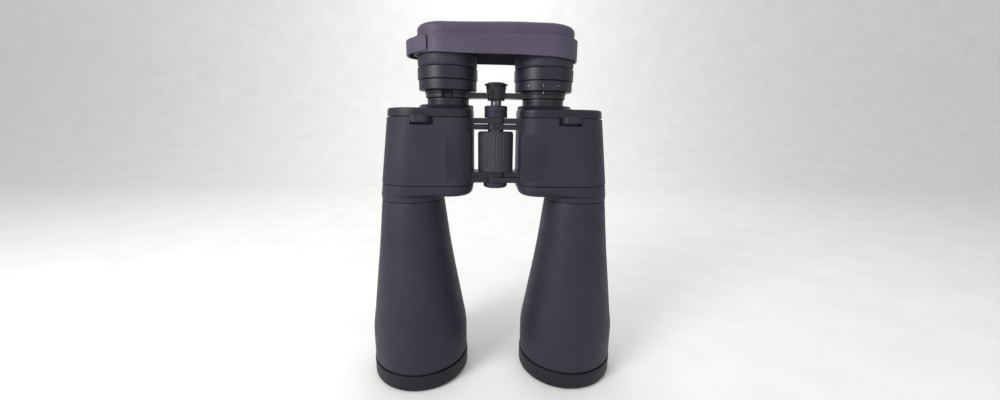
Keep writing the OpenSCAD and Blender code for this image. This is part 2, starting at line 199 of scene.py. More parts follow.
def lathe(profile, centre, steps=128, relief=None, lean=None):
    """A profile of (r, z) turned about an upright axis.

    relief(angle, r, z) is added to a radius, and lean(z) to the axis's x.
    """
    rings = []
    for r, z in profile:
        ring = []
        shift = lean(z) if lean else 0
        for k in range(steps):
            angle = 2 * math.pi * k / steps
            reach = r + relief(angle, r, z) if relief else r
            x = centre[0] + shift + reach * math.cos(angle)
            y = centre[1] + reach * math.sin(angle)
            ring.append((x, y, z))
        rings.append(ring)
    return skin(rings, closed=profile[0][0] > 0)


def sweep(path, section):
    """A section of (outward, z) offsets carried along a level path of (x, y, z)."""
    rings = []
    for i, point in enumerate(path):
        along = Vector(path[min(i + 1, len(path) - 1)]) - Vector(path[max(i - 1, 0)])
        out = Vector((along.y, -along.x)).normalized()
        rings.append([(point[0] + out.x * u, point[1] + out.y * u, point[2] + v) for u, v in section])
    return capped(rings)


def stadium(centre_y, r, z):
    """A ring of radius r round both eyepiece axes and along the straight sides between them."""
    arc_steps = 150
    straight_steps = 60
    ring = []
    for end in (1, -1):
        for k in range(arc_steps):
            angle = math.pi * k / arc_steps - end * math.pi / 2
            ring.append((end * EYEPIECE_X + r * math.cos(angle), centre_y + r * math.sin(angle), z))
        for k in range(straight_steps):
            x = end * EYEPIECE_X * (1 - 2 * k / straight_steps)
            ring.append((x, centre_y + end * r, z))
    return ring


def pulse(value, low, high, edge):
    """1 between low and high and 0 outside them, with a ramp of the given width at each end."""
    rise = (value - low) / edge + 0.5
    fall = (high - value) / edge + 0.5
    return max(0, min(1, rise, fall))


def flutes(count, depth, z0, z1):
    """Relief of upright grooves round a lathe between two heights."""

    def relief(angle, r, z):
        wave = 0.5 + 0.5 * math.cos(count * angle)
        return -depth * wave * pulse(z, z0, z1, 0.8)

    return relief


# The prism housing's outline

armour_place = Place("housing_armour_right")
plate_place = Place("cover_plate_right")
EYEPIECE_X = Place("eyecup_rubber_right").centre[0]
OUTLINE_STEP = 0.475
FRONT_STEPS = 64


def housing_x(z):
    """The outer wall's distance from the middle plane at a height."""
    top = plate_place.x1 + PLATE_INSET
    share = (plate_place.z0 - z) / (plate_place.z0 - armour_place.z0)
    return top + (armour_place.x1 - top) * share


def arc(x, y, r, start, end, steps):
    """Points along an arc between two angles in degrees."""
    points = []
    for k in range(steps + 1):
        angle = math.radians(start + (end - start) * k / steps)
        points.append((x + r * math.cos(angle), y + r * math.sin(angle)))
    return points


def housing_outline(z, inset=0):
    """The housing's rounded outline at a height: points in order, starting on the inner wall.

    The front's inner corner and its straight have the same points at any height, about OUTLINE_STEP
    apart, so that ribs and a pocket keep their places.
    """
    corner_steps = 50
    inner_steps = 30
    outer_steps = 6
    past_front = 1
    inner_r = CORNER_R - inset
    outer_r = OUTER_CORNER_R - inset
    inner_y = armour_place.y1 - CORNER_R
    outer_y = armour_place.y1 - OUTER_CORNER_R
    x_in = armour_place.x0 + CORNER_R
    x_out = housing_x(z) - OUTER_CORNER_R
    front = []
    for k in range(1, FRONT_STEPS):
        x = x_in + OUTLINE_STEP * k
        front.append((x, outer_y + math.sqrt(outer_r ** 2 - max(0, x - x_out) ** 2)))
    turned = math.degrees(math.asin(max(0, front[-1][0] - x_out) / outer_r)) + past_front
    inner_wall = [2 * inner_y * (k / inner_steps - 0.5) for k in range(1, inner_steps)]
    outer_wall = [2 * outer_y * (k / outer_steps - 0.5) for k in range(1, outer_steps)]
    outline = arc(x_in, -inner_y, inner_r, 180, 270, corner_steps)
    outline += [(x, -y) for x, y in front]
    outline += arc(x_out, -outer_y, outer_r, turned - 90, 0, corner_steps)
    outline += [(x_out + outer_r, y) for y in outer_wall]
    outline += arc(x_out, outer_y, outer_r, 0, 90 - turned, corner_steps)
    outline += reversed(front)
    outline += arc(x_in, inner_y, inner_r, 90, 180, corner_steps)
    outline += [(x_in - inner_r, -y) for y in inner_wall]
    return outline


def flare(centre, radius, rows, fade, inset=0):
    """Rings between a circle and the housing's outline.

    A row is (a, b, c, z): its distance from the centre is the circle's radius, plus b times the way out
    to the outline, plus a where that way is at least as long as fade and less where it is shorter, plus c.
    """
    rings = []
    for a, b, c, z in rows:
        ring = []
        for x, y in housing_outline(z, inset):
            spoke = Vector((x - centre[0], y - centre[1]))
            way = spoke.length - radius
            share = max(-1, min(1, way / fade))
            reach = radius + a * share + b * way + c
            spoke = spoke.normalized() * reach
            ring.append((centre[0] + spoke.x, centre[1] + spoke.y, z))
        rings.append(ring)
    return rings


def quarter_arc(a, z, radius, turn, outward=1):
    """(a, z) along a quarter circle of the given radius; turn is the angle in degrees that it starts at."""
    points = []
    for k in range(ARC_STEPS + 1):
        angle = math.radians(turn + outward * 90 * k / ARC_STEPS)
        points.append((a + radius * math.cos(angle), z + radius * math.sin(angle)))
    return points


# Materials


def add_node(tree, kind, inputs=None, **settings):
    node = tree.nodes.new(kind)
    for name, value in settings.items():
        setattr(node, name, value)
    for socket, value in (inputs or {}).items():
        if isinstance(value, bpy.types.NodeSocket):
            tree.links.new(value, node.inputs[socket])
        else:
            node.inputs[socket].default_value = value
    return node


def noise(tree, size, detail=2, stretch=(1, 1, 1)):
    """Noise with features of the given size in millimetres, in the object's own coordinates."""
    coords = add_node(tree, "ShaderNodeTexCoord").outputs["Object"]
    mapped = add_node(tree, "ShaderNodeMapping", {"Vector": coords, "Scale": stretch})
    inputs = {"Vector": mapped.outputs["Vector"], "Scale": 1 / (size * MM), "Detail": detail}
    return add_node(tree, "ShaderNodeTexNoise", inputs).outputs["Fac"]


def between(tree, factor, low, high):
    """A value from low to high as the factor goes across a noise's usual range."""
    inputs = {"Value": factor, "From Min": 0.3, "From Max": 0.7, "To Min": low, "To Max": high}
    return add_node(tree, "ShaderNodeMapRange", inputs).outputs["Result"]


def shades(tree, factor, dark, light):
    inputs = {"Fac": between(tree, factor, 0, 1)}
    ramp = add_node(tree, "ShaderNodeValToRGB", inputs)
    ramp.color_ramp.elements[0].color = (*dark, 1)
    ramp.color_ramp.elements[1].color = (*light, 1)
    return ramp.outputs["Color"]


def bumps(tree, layers):
    """A normal from layers of (height, strength, depth in millimetres)."""
    normal = None
    for height, strength, depth in layers:
        inputs = {"Height": height, "Strength": strength, "Distance": depth * MM}
        if normal:
            inputs["Normal"] = normal
        normal = add_node(tree, "ShaderNodeBump", inputs).outputs["Normal"]
    return normal


def new_material(name, **sockets):
    material = bpy.data.materials.new(name)
    material.use_nodes = True
    tree = material.node_tree
    shader = tree.nodes["Principled BSDF"]
    for socket, value in sockets.items():
        shader.inputs[socket.replace("_", " ")].default_value = value
    return material, tree, shader


def rubber(name, dark, light, rough=(0.5, 0.62), sheen=0.02):
    """Moulded rubber: a fine grain, faint cloudy patches and uneven gloss."""
    material, tree, shader = new_material(
        name, Specular_IOR_Level=0.3, Sheen_Weight=sheen, Sheen_Roughness=0.45
    )
    clouds = noise(tree, 22, detail=4)
    fine = noise(tree, 0.45, detail=3)
    smudges = noise(tree, 6, detail=5)
    mixed = add_node(tree, "ShaderNodeMath", {0: clouds, 1: fine}, operation="ADD")
    halved = add_node(tree, "ShaderNodeMath", {0: mixed.outputs[0], 1: 0.5}, operation="MULTIPLY")
    tree.links.new(shades(tree, halved.outputs[0], dark, light), shader.inputs["Base Color"])
    tree.links.new(between(tree, smudges, *rough), shader.inputs["Roughness"])
    layers = [(noise(tree, 3, detail=3), 0.25, 0.05), (fine, 0.5, 0.05)]
    tree.links.new(bumps(tree, layers), shader.inputs["Normal"])
    return material


def plastic(name, dark, light):
    """Satin moulded plastic with a very fine spark-eroded texture."""
    material, tree, shader = new_material(name, Specular_IOR_Level=0.35)
    fine = noise(tree, 0.22, detail=2)
    tree.links.new(shades(tree, noise(tree, 9, detail=5), dark, light), shader.inputs["Base Color"])
    tree.links.new(between(tree, noise(tree, 4, detail=4), 0.34, 0.46), shader.inputs["Roughness"])
    tree.links.new(bumps(tree, [(fine, 0.35, 0.02)]), shader.inputs["Normal"])
    return material


def paint(name, dark, light, rough=(0.3, 0.42)):
    """Satin enamel on a casting, with a little orange peel."""
    material, tree, shader = new_material(
        name, Specular_IOR_Level=0.3, Coat_Weight=0.05, Coat_Roughness=0.35
    )
    peel = noise(tree, 0.9, detail=1)
    tree.links.new(shades(tree, noise(tree, 14, detail=5), dark, light), shader.inputs["Base Color"])
    tree.links.new(between(tree, noise(tree, 5, detail=4), *rough), shader.inputs["Roughness"])
    tree.links.new(bumps(tree, [(peel, 0.3, 0.02)]), shader.inputs["Normal"])
    return material


def metal(name, dark, light, rough):
    """Turned metal: fine lines round the upright axis and uneven polish."""
    material, tree, shader = new_material(name, Metallic=1.0)
    turned = noise(tree, 0.25, detail=2, stretch=(0.02, 0.02, 1))
    tree.links.new(shades(tree, noise(tree, 3, detail=5), dark, light), shader.inputs["Base Color"])
    tree.links.new(between(tree, turned, *rough), shader.inputs["Roughness"])
    tree.links.new(bumps(tree, [(turned, 0.4, 0.01)]), shader.inputs["Normal"])
    return material


def glass(name, dark, light, film):
    """Optical glass with an interference coating and the faintest dust."""
    material, tree, shader = new_material(
        name, IOR=1.52, Transmission_Weight=0.96, Thin_Film_Thickness=film, Thin_Film_IOR=1.38
    )
    dust = noise(tree, 0.5, detail=6)
    tree.links.new(shades(tree, noise(tree, 12), dark, light), shader.inputs["Base Color"])
    tree.links.new(between(tree, dust, 0.0, 0.05), shader.inputs["Roughness"])
    return material


def white_mark():
    """White filling of an engraved mark, a little worn."""
    material, tree, shader = new_material("white_mark")
    worn = noise(tree, 0.3, detail=4)
    tree.links.new(shades(tree, worn, (0.3, 0.3, 0.31), (0.6, 0.6, 0.6)), shader.inputs["Base Color"])
    tree.links.new(between(tree, worn, 0.5, 0.7), shader.inputs["Roughness"])
    return material


MATERIALS = {
    "armour_rubber": rubber("armour_rubber", (0.0144, 0.0131, 0.0245), (0.023, 0.021, 0.037)),
    "cap_rubber": rubber("cap_rubber", (0.005, 0.0048, 0.0095), (0.009, 0.0085, 0.0145)),
    # The guard's rubber gets a much lighter base colour than the armour's: painted light, standing for the
    # light its upward- and forward-facing surfaces catch.
    "guard_rubber": rubber("guard_rubber", (0.052, 0.043, 0.071), (0.077, 0.064, 0.102), sheen=0.04),
    "eyecup_rubber": rubber("eyecup_rubber", (0.017, 0.0155, 0.026), (0.026, 0.0235, 0.037)),
    "wheel_rubber": rubber(
        "wheel_rubber", (0.026, 0.025, 0.033), (0.038, 0.036, 0.047), rough=(0.38, 0.5)
    ),
    "black_alloy": paint("black_alloy", (0.014, 0.0135, 0.018), (0.021, 0.0205, 0.026)),
    "cover_paint": paint(
        "cover_paint", (0.0095, 0.0082, 0.0145), (0.0155, 0.0135, 0.0225), rough=(0.4, 0.52)
    ),
    "bare_alloy": metal("bare_alloy", (0.45, 0.45, 0.46), (0.62, 0.62, 0.64), (0.35, 0.5)),
    "ring_plastic": plastic("ring_plastic", (0.0095, 0.0088, 0.0165), (0.0155, 0.0145, 0.0245)),
    "hub_plastic": plastic("hub_plastic", (0.012, 0.012, 0.015), (0.02, 0.02, 0.024)),
    "steel": metal("steel", (0.1, 0.1, 0.11), (0.16, 0.16, 0.17), (0.3, 0.45)),
    "brass": metal("brass", (0.48, 0.34, 0.13), (0.7, 0.52, 0.24), (0.25, 0.4)),
    "coated_glass": glass("coated_glass", (0.75, 0.86, 0.8), (0.85, 0.93, 0.9), 210),
    "prism_glass": glass("prism_glass", (0.86, 0.92, 0.94), (0.93, 0.96, 0.97), 0),
}
MARK_MATERIAL = white_mark()

# Making pieces

BODIES = frame["record"]["behaviour"]["bodies"]
BODY_OF = {node: body for body, nodes in BODIES.items() for node in nodes}
SLOT_OF = {part["node"]: part["material_slot"] for part in frame["record"]["subparts"]}


def make_object(name, shape, material):
    points, faces = shape
    mesh = bpy.data.meshes.new(name)
    mesh.from_pydata([Vector(point) * MM for point in points], [], faces)
    work = bmesh.new()
    work.from_mesh(mesh)
    bmesh.ops.remove_doubles(work, verts=work.verts, dist=0.002 * MM)
    bmesh.ops.recalc_face_normals(work, faces=work.faces)
    work.to_mesh(mesh)
    work.free()
    mesh.shade_smooth()
    mesh.set_sharp_from_angle(angle=SHARP)
    mesh.materials.append(material)
    piece = bpy.data.objects.new(name, mesh)
    bpy.context.scene.collection.objects.link(piece)
    weighted = piece.modifiers.new("even_shading", "WEIGHTED_NORMAL")
    weighted.keep_sharp = True
    return piece


def add_piece(name, shape, node, hides=True):
    """A piece that rides with a CAD node, has its material, and stands for it if hides is true."""
    slot = SLOT_OF[node]
    piece = make_object(name, shape, MATERIALS[slot])
    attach(piece, BODY_OF[node])
    if hides:
        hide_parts(node)
    return piece


def add_mark(name, outline, node, radius, angle, z):
    """A white mark, an outline of (u, v), laid on a round node's side at an angle in degrees."""
    thickness = 0.05
    sunk = 0.15
    cx, cy = Place(node).centre
    rings = []
    for r in (radius - sunk, radius + thickness):
        ring = []
        for u, v in outline:
            turn = math.radians(angle) + u / radius
            ring.append((cx + r * math.cos(turn), cy + r * math.sin(turn), z + v))
        rings.append(ring)
    piece = make_object(name, capped(rings), MARK_MATERIAL)
    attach(piece, BODY_OF[node])
    return piece


# Objective end


def objective_cap(side):
    node = f"objective_cap_{side}"
    place = Place(node)
    land_r = Place(f"objective_barrel_{side}").r
    recess_r = place.r - 2 * CAP_ROUND
    profile = rounded([
        (0, CAP_RECESS), (recess_r, CAP_RECESS, 0.5), (recess_r, place.z0, 0.7),
        (place.r, place.z0, CAP_ROUND), (place.r, place.z1, 0.7), (land_r, place.z1, 0.4),
        (land_r, CAP_FLOOR, 0.6), (0, CAP_FLOOR)
    ])
    add_piece(f"cap_{side}", lathe(profile, place.centre, ROUND_STEPS), node)


def barrel_lean(side):
    """How far a barrel's axis stands outwards of the objective's, as a function of the height."""

    def lean(z):
        for (z0, x0), (z1, x1) in zip(BARREL_LEAN, BARREL_LEAN[1:]):
            if z0 < z <= z1:
                return SIDES[side] * (x0 + (x1 - x0) * (z - z0) / (z1 - z0))
        return 0 if z <= BARREL_LEAN[0][0] else SIDES[side] * BARREL_LEAN[-1][1]

    return lean


def barrel_armour(side):
    node = f"barrel_armour_{side}"
    place = Place(node)
    line = [(r, z) for z, r in curve_through(BARREL_KNOTS, 4)]
    lip = 0.6
    outside = [(place.r - lip, place.z0), (place.r - 0.2, place.z0 + 0.15), (place.r, place.z0 + lip)]
    top_r, top_z = line.pop()
    outside += line + [(top_r, top_z - 0.7), (top_r - 0.2, top_z - 0.3), (top_r - 0.9, top_z - 0.2)]
    inside = [(top_r - BARREL_SKIN, top_z - 0.2)]
    inside += [(r - BARREL_SKIN, z) for r, z in reversed(line)]
    inside.append((place.r - BARREL_SKIN, place.z0))
    shape = lathe(outside + inside, place.centre, ROUND_STEPS, lean=barrel_lean(side))
    add_piece(f"barrel_rubber_{side}", shape, node)


def objective_barrel(side):
    """The tube under the armour, with the neck that enters the lower cover."""
    node = f"objective_barrel_{side}"
    place = Place(node)
    cell_r = 36.2
    neck_r, neck_bore = 22, 19
    gap = 0.02
    line = [(r - BARREL_SKIN - gap, z) for z, r in curve_through(BARREL_KNOTS, 8)]
    wall = [(min(r - BARREL_WALL, cell_r), z) for r, z in reversed(line[:-1])]
    profile = [(cell_r, place.z0), (place.r - 0.4, place.z0), (place.r, place.z0 + 0.4)] + line
    profile += [(neck_r, line[-1][1]), (neck_r, place.z1), (neck_bore, place.z1)]
    profile += [(neck_bore, line[-1][1] - 6)] + wall
    shape = lathe(profile, place.centre, lean=barrel_lean(side))
    add_piece(f"barrel_tube_{side}", shape, node)


# Prism housing


def lower_cover(side):
    node = f"lower_cover_{side}"
    place = Place("lower_cover_right")
    barrel = Place("objective_barrel_right").centre
    centre = (barrel[0] + BARREL_LEAN[-1][1], barrel[1])
    collar_r = BARREL_KNOTS[-1][1] + 0.15
    under_z = 156.9
    inner = 2.6
    edge_r = 5.4
    top = place.z1
    low = place.z0
    rows = [(0, 0, -2.4, low + 0.2), (0, 0, -0.9, low + 0.2), (0, 0, -0.2, low + 0.3), (0, 0, 0, low + 0.7)]
    for a, z in quarter_arc(inner, under_z - inner, inner, 180, -1):
        rows.append((a, 0, 0, z))
    for a, z in quarter_arc(-edge_r, under_z + edge_r + 0.3, edge_r, -90):
        rows.append((a, 1, -0.35, z))
    rows += [(0, 1, -0.35, top - 0.4), (0, 1, -0.5, top - 0.1)]
    rows += [(0, 1, -0.8, top), (0, 1, -2, top), (0, 1, -2, top - 3), (0, 0, -2.4, top - 3.4)]
    shape = skin(flare(centre, collar_r, rows, inner + edge_r))
    add_piece(f"lower_cover_rubber_{side}", mirrored(shape, side), node)


def housing_relief(index, x, z, inner):
    """How far a point of the housing's front is pushed inwards, in millimetres."""
    first_rib = 16
    ribs = 15
    steps_per_rib = 3
    rib_height = 0.4
    rib_z = (169, 203.7)
    pocket = (44.85, 61.65, 209.85) if inner else (45.3, 61.2, 210.25)
    pocket_depth = 1.75 if inner else 3.3
    above = 300
    k = index - first_rib
    if not inner and 0 <= k < ribs * steps_per_rib and k % steps_per_rib == 1:
        return -rib_height * pulse(z, rib_z[0], rib_z[1], 0.6)
    if pocket[0] < x < pocket[1]:
        return pocket_depth * pulse(z, pocket[2], above, 0.4)
    return 0


def housing_armour(side):
    node = f"housing_armour_{side}"
    place = armour_place
    edge = 0.6
    # The ribs and the pocket need rows on both sides of each height where they begin or end
    rows = [(edge, place.z0, 0), (0.18, place.z0 + 0.15, 0), (0, place.z0 + edge, 0)]
    rows += [(0, z, 0) for z in (168.7, 169.3, 180, 190, 203.4, 204, 208, 210.04, 210.46)]
    rows += [(0, place.z1 - edge, 0), (0.15, place.z1 - 0.12, 0), (edge, place.z1, 0)]
    rows += [(ARMOUR_T, place.z1, 1), (ARMOUR_T, 210.06, 1), (ARMOUR_T, 209.64, 1)]
    rows.append((ARMOUR_T, place.z0, 1))
    rings = []
    for inset, z, inner in rows:
        outline = housing_outline(z, inset)
        ring = []
        for i, (x, y) in enumerate(outline):
            before = Vector(outline[i - 1])
            after = Vector(outline[(i + 1) % len(outline)])
            normal = Vector((before.y - after.y, after.x - before.x)).normalized()
            push = housing_relief(i, x, z, inner) if y < 0 else 0
            ring.append((x + normal.x * push, y + normal.y * push, z))
        rings.append(ring)
    add_piece(f"housing_rubber_{side}", mirrored(skin(rings), side), node)


def hinge_webs(side):
    """The parts of the hinge arms that stand outside the other half's knuckles."""
    other = "left" if side == "right" else "right"
    hinge_x, hinge_y = Place("hinge_axle").centre
    clear_r = KNUCKLE_R + 0.35
    root_x, root_y = 20, 7.6
    spread = 46
    nose_steps = 12
    nose = arc(hinge_x, hinge_y, clear_r, spread, -spread, nose_steps)
    outline = nose + [(root_x, hinge_y - root_y), (root_x, hinge_y + root_y)]
    shapes = []
    for z in (LOW_KNUCKLES[other], HIGH_KNUCKLES[other]):
        shapes.append(capped([[(x, y, level) for x, y in outline] for level in (z, z + KNUCKLE_H)]))
    shape = mirrored(joined(*shapes), side)
    add_piece(f"hinge_webs_{side}", shape, f"prism_housing_{side}", hides=False)


def strap_lug(side):
    node = f"strap_lug_{side}"
    place = Place("strap_lug_right")
    half_w = 1.5
    half_h = 2.8
    mid_z = 214.2
    turn_r = 2.6
    round_r = 1.45
    floor_y = place.y1
    front_y = place.y0 + half_w - 0.6
    x0 = place.x0 + half_w - 0.3
    x1 = place.x1 - half_w + 0.3
    bend = rounded([
        (x0, floor_y), (x0, front_y, turn_r), (x1, front_y, turn_r), (x1, floor_y)
    ])
    section = rounded([
        (-half_w, -half_h, round_r), (half_w, -half_h, round_r), (half_w, half_h, round_r),
        (-half_w, half_h, round_r)
    ])
    shape = sweep([(x, y, mid_z) for x, y in bend], section)
    add_piece(f"strap_bar_{side}", mirrored(shape, side), node)


def cover_plate(side):
    node = f"cover_plate_{side}"
    place = plate_place
    neck = Place("eyepiece_neck_right")
    centre = (neck.centre[0] + BOSS_AT[0], neck.centre[1] + BOSS_AT[1])
    round_r = 1.6
    top = place.z1
    rows = [(0, 1, -0.5, place.z0), (0, 1, -0.12, place.z0 + 0.12), (0, 1, 0, place.z0 + 0.5)]
    for a, z in quarter_arc(-round_r, PLATE_TOP - round_r, round_r, 0):
        rows.append((a, 1, 0, z))
    slope = [(4.4, 0.05), (3, 0.3), (1.6, 0.8), (0.6, 1.3), (0.1, 1.8)]
    rows += [(a, 0, 0, PLATE_TOP + rise) for a, rise in slope]
    rows += [(0, 0, -0.08, top - 0.4), (0, 0, -0.3, top - 0.15), (0, 0, -0.8, top)]
    rings = flare(centre, BOSS_R, rows, 6, inset=PLATE_INSET)
    for z in (top, place.z0):
        bore = []
        for x, y in housing_outline(z, PLATE_INSET):
            spoke = Vector((x - neck.centre[0], y - neck.centre[1])).normalized() * neck.r
            bore.append((neck.centre[0] + spoke.x, neck.centre[1] + spoke.y, z))
        rings.append(bore)
    add_piece(f"cover_plate_{side}_painted", mirrored(skin(rings), side), node)


def eyepiece_neck(side):
    node = f"eyepiece_neck_{side}"
    place = Place(node)
    bore_r = 13.55
    top = place.z1
    profile = rounded([
        (place.r, place.z0), (place.r, top - 2.6), (place.r - 0.35, top - 2.5), (place.r - 0.35, top - 2.2),
        (place.r, top - 2.1), (place.r, top, 0.4), (bore_r, top, 0.3), (bore_r, place.z0)
    ])
    add_piece(f"neck_{side}", lathe(profile, place.centre), node)


# Hinge and focus drive


def hub_ribs(angle, r, z):
    """Relief of the fine ribs round the hub's body, below its cap."""
    inside_r = 5.5
    cap_z = 237
    if r <= inside_r or z >= cap_z:
        return 0
    return -HUB_RIB_DEPTH * (0.5 + 0.5 * math.cos(HUB_RIBS * angle))


def hinge_collar():
    node = "hinge_collar"
    place = Place(node)
    axle_r = Place("hinge_axle").r
    low_top = 166.8
    high_low = 215.6
    groove_z = 219.9
    end_piece = rounded([
        (axle_r, place.z0, 0.3), (place.r, place.z0, 1.8), (place.r, low_top, 0.3), (axle_r, low_top)
    ])
    collar = rounded([
        (axle_r, high_low), (KNUCKLE_R, high_low, 0.4), (KNUCKLE_R, groove_z - 0.3),
        (KNUCKLE_R - 0.35, groove_z - 0.15), (KNUCKLE_R - 0.35, groove_z + 0.15),
        (KNUCKLE_R, groove_z + 0.3), (KNUCKLE_R, place.z1, 1.1), (axle_r, place.z1, 0.3)
    ])
    shape = joined(lathe(end_piece, place.centre), lathe(collar, place.centre))
    add_piece("hinge_ends", shape, node)


def wheel_grip():
    node = "wheel_grip"
    place = Place(node)
    inner_r = place.r - 1.5
    ribs = 36
    profile = rounded([
        (inner_r, place.z0), (place.r, place.z0, 0.9), (place.r, place.z0 + 1.8),
        (place.r, place.z0 + 2.4), (place.r, place.z1 - 3.2), (place.r, place.z1 - 2.6),
        (place.r, place.z1 - 1.3), (place.r - 1.1, place.z1), (inner_r, place.z1)
    ])
    groove = flutes(ribs, 0.4, place.z0 + 2.1, place.z1 - 2.9)

    def relief(angle, r, z):
        return groove(angle, r, z) if r > inner_r + 1 else 0

    add_piece("focus_grip", lathe(profile, place.centre, ribs * 8, relief), node)


def bridge_hub():
    node = "bridge_hub"
    place = Place(node)
    spindle_r = Place("focus_spindle").r
    top = place.z1
    cap_z = 233.6
    cap = rounded([
        (0, cap_z), (7, cap_z, 0.2), (7.15, 236), (7.7, 237.4, 0.2), (7.2, 237.8), (7.2, 238.6),
        (place.r - 0.2, 238.65, 0.3), (place.r, 239.6, 0.5), (6.2, top - 0.4, 2), (3, top - 0.04, 2), (0, top)
    ])
    base = rounded([
        (spindle_r, place.z0), (5.9, place.z0, 0.3), (6.8, 229.4, 0.15), (spindle_r, 229.4)
    ])
    shape = joined(
        lathe(cap, place.centre, HUB_STEPS, hub_ribs), lathe(base, place.centre, HUB_STEPS, hub_ribs)
    )
    add_piece("bridge_hub_cap", shape, node)


def arm_collar(side):
    """The collar at an eyepiece and the arm that joins it to the hub."""
    node = f"bridge_arm_{side}"
    ring = Place(f"ocular_tube_{side}")
    hub = Place("bridge_hub")
    low = Place(node).z0
    ring_r = 17
    hub_r = 7
    top = 237.5
    bore = 13.5
    profile = rounded([
        (bore, low, 0.2), (ring_r - 0.2, low, 0.5), (ring_r - 0.2, low + 2.6), (ring_r - 0.7, low + 2.7),
        (ring_r - 0.7, low + 3.1), (ring_r + 0.2, low + 3.2, 0.3), (ring_r + 0.2, top - 2.9, 0.3),
        (ring_r - 0.1, top - 2.7), (ring_r - 0.1, top), (bore, top)
    ])

    def window(angle, r, z):
        """The dark cut-out in the left collar's front."""
        if side == "right" or r < ring_r - 1:
            return 0
        middle = 274
        half_turn = 13
        depth = 2.6
        turn = math.degrees(angle) - middle
        return -depth * pulse(turn, -half_turn, half_turn, 1) * pulse(z, low - 3, low + 4.6, 0.4)

    collar_steps = 360
    collar = lathe(profile, ring.centre, collar_steps, window)
    hub_bore = 4.05
    ring_z = low + ARM_T - ARM_LAP if side == "right" else low
    ring_top = ring_z + ARM_LAP
    hub_profile = rounded([
        (hub_bore, ring_z), (hub_r - 0.1, ring_z, 0.15), (hub_r, ring_top, 0.15), (hub_bore, ring_top)
    ])
    hub_ring = lathe(hub_profile, hub.centre, HUB_STEPS, hub_ribs)
    levels = (low, low + ARM_T)
    bar = arm_bar(Vector(hub.centre), Vector(ring.centre), hub_r, levels, (ring_z, ring_top))
    add_piece(f"arm_{side}", joined(collar, hub_ring, bar), node)


def arm_bar(start, end, hub_r, levels, lap_levels):
    """The bar from the hub at start to the collar at end, kept off the other arm's ring at the hub."""
    edge = 0.45
    along = (end - start).normalized()
    across = Vector((-along.y, along.x))
    length = (end - start).length
    hub_end, hub_half = 5, 5.6
    far_end, far_half = length - 13, 7.6
    near_r = hub_r + 1.5
    clear_r = hub_r + 0.9
    outline = [
        (hub_end, -hub_half), (near_r, -hub_half), (far_end, -far_half), (far_end, far_half),
        (near_r, hub_half), (hub_end, hub_half)
    ]
    low, high = levels
    rows = [(edge, low), (0.1, low + 0.1), (0, low + edge), (0, low + ARM_LAP)]
    rows += [(0, high - ARM_LAP), (0, high - edge), (0.1, high - 0.1), (edge, high)]
    rings = []
    for inset, z in rows:
        in_lap = lap_levels[0] <= z + 0.01 and z <= lap_levels[1] + 0.01
        points = []
        for u, v in outline:
            point = along * u + across * (v - math.copysign(inset, v))
            if point.length < near_r and not in_lap:
                point = point.normalized() * clear_r
            points.append((start.x + point.x, start.y + point.y, z))
        rings.append(points)
    return capped(rings)


# Eyepieces


def ocular_ring(side):
    node = f"ocular_ring_{side}"
    place = Place(node)
    bore = 13.55
    skirt_r = 17.4
    step_z = place.z0 + 4.5
    profile = rounded([
        (bore, step_z), (skirt_r, step_z), (skirt_r, place.z0, 0.2), (place.r, place.z0, 0.7),
        (place.r, place.z1, 0.5), (bore, place.z1)
    ])
    piece_name = "diopter_ring_grip" if side == "right" else "trim_ring"
    add_piece(piece_name, lathe(profile, place.centre, ROUND_STEPS), node)


def eyecup_sleeve(side):
    node = f"eyecup_sleeve_{side}"
    place = Place(node)
    bore = 19.55
    profile = rounded([
        (bore, place.z0), (place.r, place.z0, 0.45), (place.r, place.z1, 0.9), (bore, place.z1)
    ])
    add_piece(f"cup_grip_{side}", lathe(profile, place.centre, ROUND_STEPS), node)


def eyecup_rubber(side):
    node = f"eyecup_rubber_{side}"
    place = Place(node)
    bore = 19.55
    lip_r = 13
    swell = 0.7
    r = place.r + swell
    profile = rounded([
        (bore, place.z0), (r - 0.6, place.z0, 0.3), (r, place.z0 + 1.6, 0.6),
        (r, place.z1, 2.2), (lip_r, place.z1, 1), (lip_r, place.z1 - 2.5, 0.8),
        (bore, place.z1 - 2.5, 1)
    ])
    add_piece(f"cup_rubber_{side}", lathe(profile, place.centre, ROUND_STEPS), node)


def eyepiece_marks():
    """The index dot on the right collar, and the plus, zero and minus marks of the diopter ring."""
    front = 262
    apart = 30
    collar_r = 17.2
    dot_z = 233.6
    dot = arc(0, 0, 0.45, 0, 330, 11)
    add_mark("index_dot", dot, "ocular_tube_right", collar_r, front, dot_z)
    arm, half, tall = 0.6, 0.1, 0.9
    plus = [
        (-arm, -half), (-half, -half), (-half, -arm), (half, -arm), (half, -half), (arm, -half),
        (arm, half), (half, half), (half, arm), (-half, arm), (-half, half), (-arm, half)
    ]
    minus = [(-arm, -half), (arm, -half), (arm, half), (-arm, half)]
    line = [(-half, -tall), (half, -tall), (half, tall), (-half, tall)]
    ring = Place("ocular_ring_right")
    mark_z = (ring.z0 + ring.z1) / 2
    add_mark("diopter_plus", plus, "ocular_ring_right", ring.r, front - apart, mark_z)
    add_mark("diopter_zero", line, "ocular_ring_right", ring.r, front, mark_z)
    add_mark("diopter_minus", minus, "ocular_ring_right", ring.r, front + apart, mark_z)


# Rain guard


